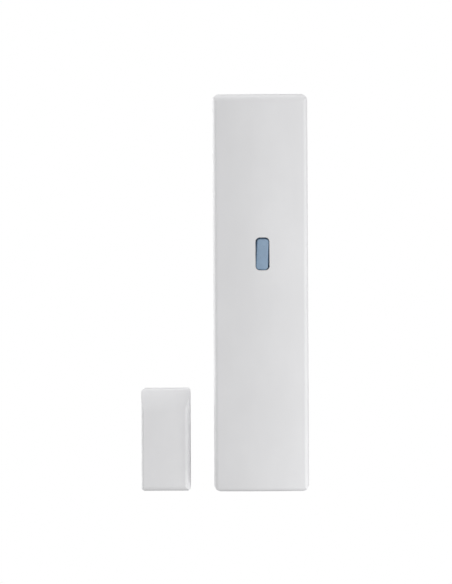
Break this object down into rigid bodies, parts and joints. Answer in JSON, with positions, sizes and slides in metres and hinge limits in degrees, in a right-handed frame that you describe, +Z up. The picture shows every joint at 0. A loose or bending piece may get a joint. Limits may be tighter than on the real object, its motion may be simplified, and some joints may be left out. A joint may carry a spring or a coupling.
{
  "type": "door contact sensor",
  "caption": "Wireless door contact sensor: a tall slim transmitter with a small blue-grey status button, and a smaller magnet unit beside it.",
  "frame": {"origin": "middle of the transmitter's two fixing screws, on its back face", "axes": "+X to the right seen from the front, +Y into the wall or door frame, +Z up; the front faces -Y and both back faces lie on y = 0"},
  "size_m": [0.0461, 0.022, 0.1091],
  "materials": {
    "cover_white": "satin moulded plastic, faintly cool white",
    "base_white": "satin moulded plastic, white",
    "button_blue": "translucent blue-grey plastic",
    "board_green": "solder mask over glass-fibre laminate",
    "black_plastic": "moulded black plastic",
    "steel": "plated steel",
    "shield_metal": "tin-plated sheet",
    "solder": "tin solder",
    "lens_white": "milky lens",
    "reed_glass": "clear green-tinted glass",
    "ceramic_dark": "fired ceramic",
    "can_aluminium": "drawn aluminium",
    "block_green": "moulded green plastic",
    "brass": "plated brass",
    "jumper_blue": "moulded blue plastic",
    "copper_wire": "enamelled copper wire",
    "sleeve_blue": "shrunk plastic sleeve",
    "magnet_grey": "sintered ferrite"
  },
  "bodies": {
    "base_unit": {"base": "base_white", "circuit_board": "board_green", "board_screws": "steel", "tact_switch": "black_plastic", "switch_plates": "steel", "status_led": "lens_white", "tamper_switch": "black_plastic", "reed_glass": "reed_glass", "reed_leads": "solder", "microcontroller": "black_plastic", "chip_legs": "solder", "radio_chip": "black_plastic", "radio_shield": "shield_metal", "crystal": "shield_metal", "capacitor_can": "can_aluminium", "capacitor_foot": "black_plastic", "chip_parts": "ceramic_dark", "chip_ends": "solder", "terminal_block": "block_green", "terminal_clamps": "brass", "terminal_screws": "steel", "jumper_header": "black_plastic", "jumper_pins": "brass", "jumper_cap": "jumper_blue", "antenna_coil": "copper_wire", "battery_can": "steel", "battery_sleeve": "sleeve_blue", "battery_seal": "black_plastic", "battery_cap": "steel", "contact_positive": "steel", "contact_negative": "steel", "contact_spring": "steel"},
    "cover": {"front_cover": "cover_white"},
    "button": {"status_button": "button_blue"},
    "tact_key": {"tact_plunger": "black_plastic"},
    "tamper_key": {"tamper_plunger": "black_plastic"},
    "contact_blade": {"reed_blade": "solder"},
    "magnet_unit": {"magnet_base": "base_white"},
    "magnet_cover": {"magnet_cap": "cover_white", "bar_magnet": "magnet_grey"}
  },
  "joints": [
    {"name": "cover_swing", "type": "hinge", "parent": "base_unit", "child": "cover", "pos_m": [0, -0.001, 0.0536], "axis": [-1, 0, 0], "range_deg": [0, 70]},
    {"name": "button_press", "type": "slide", "parent": "cover", "child": "button", "axis": [0, 1, 0], "range_m": [0, 0.0005], "stiffness_N_per_m": 600},
    {"name": "tact_travel", "type": "slide", "parent": "base_unit", "child": "tact_key", "axis": [0, 1, 0], "range_m": [0, 0.0005]},
    {"name": "tamper_travel", "type": "slide", "parent": "base_unit", "child": "tamper_key", "axis": [0, -1, 0], "range_m": [0, 0.0012]},
    {"name": "magnet_travel", "type": "slide", "parent": "base_unit", "child": "magnet_unit", "axis": [-1, 0, 0], "range_m": [0, 0.06]},
    {"name": "reed_opening", "type": "hinge", "parent": "base_unit", "child": "contact_blade", "pos_m": [-0.0083, -0.00772, -0.035], "axis": [-1, 0, 0], "range_deg": [0, 1]},
    {"name": "cap_lift", "type": "slide", "parent": "magnet_unit", "child": "magnet_cover", "axis": [0, -1, 0], "range_m": [0, 0.016]}
  ],
  "couplings": [
    {"joint": "tact_travel", "follows": "button_press", "ratio": 1},
    {"joint": "tamper_travel", "follows": "cover_swing", "m_per_rad": 0.00098},
    {"joint": "reed_opening", "follows": "magnet_travel", "rad_per_m": 0.29}
  ]
}
